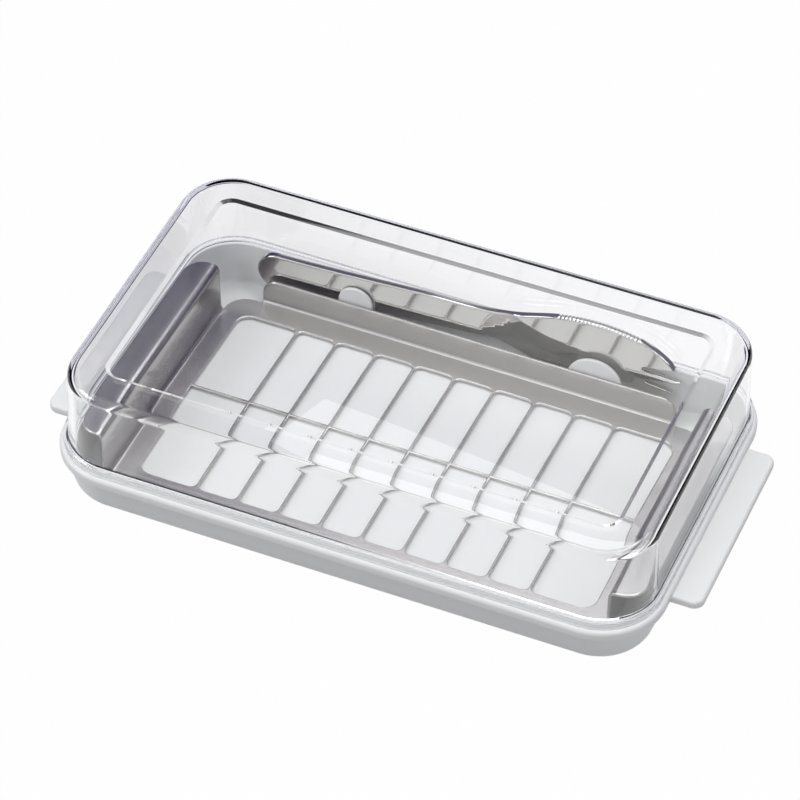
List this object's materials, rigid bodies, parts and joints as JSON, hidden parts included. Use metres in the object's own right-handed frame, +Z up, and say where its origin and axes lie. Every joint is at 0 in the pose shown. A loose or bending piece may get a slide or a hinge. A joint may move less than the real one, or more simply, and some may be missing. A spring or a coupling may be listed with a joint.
{
  "type": "butter box with slicing grid",
  "caption": "Shallow lidded butter box with a stamped slicing grid that lifts out by two grip lips, and a forked butter knife stored on edge along its back.",
  "frame": {"origin": "middle of the tray's flat underside", "axes": "+X along the length, towards one tab; +Y towards the side where the knife is kept; +Z up"},
  "size_m": [0.185, 0.103, 0.04],
  "materials": {
    "tray_plastic": "satin moulded plastic, warm pale grey",
    "lid_clear": "clear polished plastic with a faint lilac cast",
    "cutter_steel": "satin stainless sheet with a fine lengthwise grain",
    "knife_steel": "mirror polished stainless steel"
  },
  "bodies": {
    "tray": {"tray": "tray_plastic"},
    "cutter": {"slicing_frame": "cutter_steel"},
    "knife": {"butter_knife": "knife_steel"},
    "lid": {"lid": "lid_clear"}
  },
  "joints": [
    {"name": "cutter_lift", "type": "slide", "parent": "tray", "child": "cutter", "axis": [0, 0, 1], "range_m": [0, 0.04]},
    {"name": "knife_lift", "type": "slide", "parent": "cutter", "child": "knife", "axis": [0, 0, 1], "range_m": [0, 0.03]},
    {"name": "lid_lift", "type": "slide", "parent": "knife", "child": "lid", "axis": [0, 0, 1], "range_m": [0, 0.04]}
  ]
}
